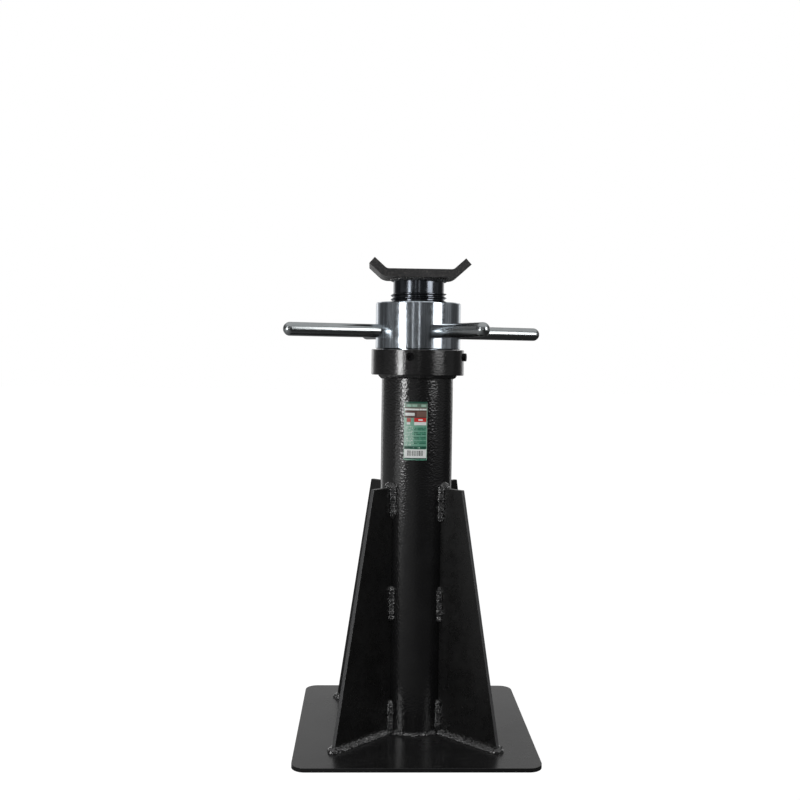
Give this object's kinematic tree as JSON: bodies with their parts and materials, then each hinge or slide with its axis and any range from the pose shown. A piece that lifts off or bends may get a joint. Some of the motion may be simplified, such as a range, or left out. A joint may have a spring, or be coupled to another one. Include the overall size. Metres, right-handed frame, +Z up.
{
  "type": "screw axle stand",
  "caption": "Heavy axle stand: gusseted tube column on a square base plate, with a hand-turned nut that raises a screw and bent-plate saddle.",
  "frame": {"origin": "middle of the base plate's underside", "axes": "+Z up along the column and screw, -Y is the front with the label, +X to the right, and the saddle's channel runs along Y"},
  "size_m": [0.3942, 0.3942, 0.7161],
  "materials": {
    "plate_paint": "satin",
    "column_paint": "hammered gloss",
    "gusset_paint": "satin",
    "collar_paint": "gloss",
    "saddle_paint": "satin",
    "nut_chrome": "polished",
    "rod_chrome": "polished",
    "screw_steel": "blackened and oiled",
    "fastener_steel": "black oxide",
    "bearing_steel": "ground",
    "cage_brass": "machined",
    "bush_bronze": "machined",
    "label_film": "printed film"
  },
  "bodies": {
    "stand": {"base_plate": "plate_paint", "column_tube": "column_paint", "gusset_front_left": "gusset_paint", "gusset_front_right": "gusset_paint", "gusset_rear_left": "gusset_paint", "gusset_rear_right": "gusset_paint", "collar_ring": "collar_paint", "grub_screws": "fastener_steel", "bearing_lower_race": "bearing_steel", "guide_bush": "bush_bronze", "guide_key": "fastener_steel", "rating_label": "label_film"},
    "nut": {"lifting_nut": "nut_chrome", "handle_rod_1": "rod_chrome", "handle_rod_2": "rod_chrome", "handle_rod_3": "rod_chrome", "handle_rod_4": "rod_chrome", "bearing_upper_race": "bearing_steel"},
    "ball_cage": {"bearing_cage": "cage_brass", "bearing_balls": "bearing_steel"},
    "screw": {"lifting_screw": "screw_steel", "saddle_plate": "saddle_paint", "stop_washer": "fastener_steel", "stop_bolt": "fastener_steel"}
  },
  "joints": [
    {"name": "nut_spin", "type": "hinge", "parent": "stand", "child": "nut", "pos_m": [0, 0, 0.609], "axis": [0, 0, -1], "range_deg": [-1680, 16200]},
    {"name": "cage_spin", "type": "hinge", "parent": "stand", "child": "ball_cage", "pos_m": [0, 0, 0.5555], "axis": [0, 0, -1], "range_deg": [-840, 8100]},
    {"name": "screw_lift", "type": "slide", "parent": "stand", "child": "screw", "axis": [0, 0, 1], "range_m": [-0.028, 0.27]}
  ],
  "couplings": [
    {"joint": "screw_lift", "follows": "nut_spin", "m_per_rad": 0.00095493},
    {"joint": "cage_spin", "follows": "nut_spin", "ratio": 0.5}
  ]
}
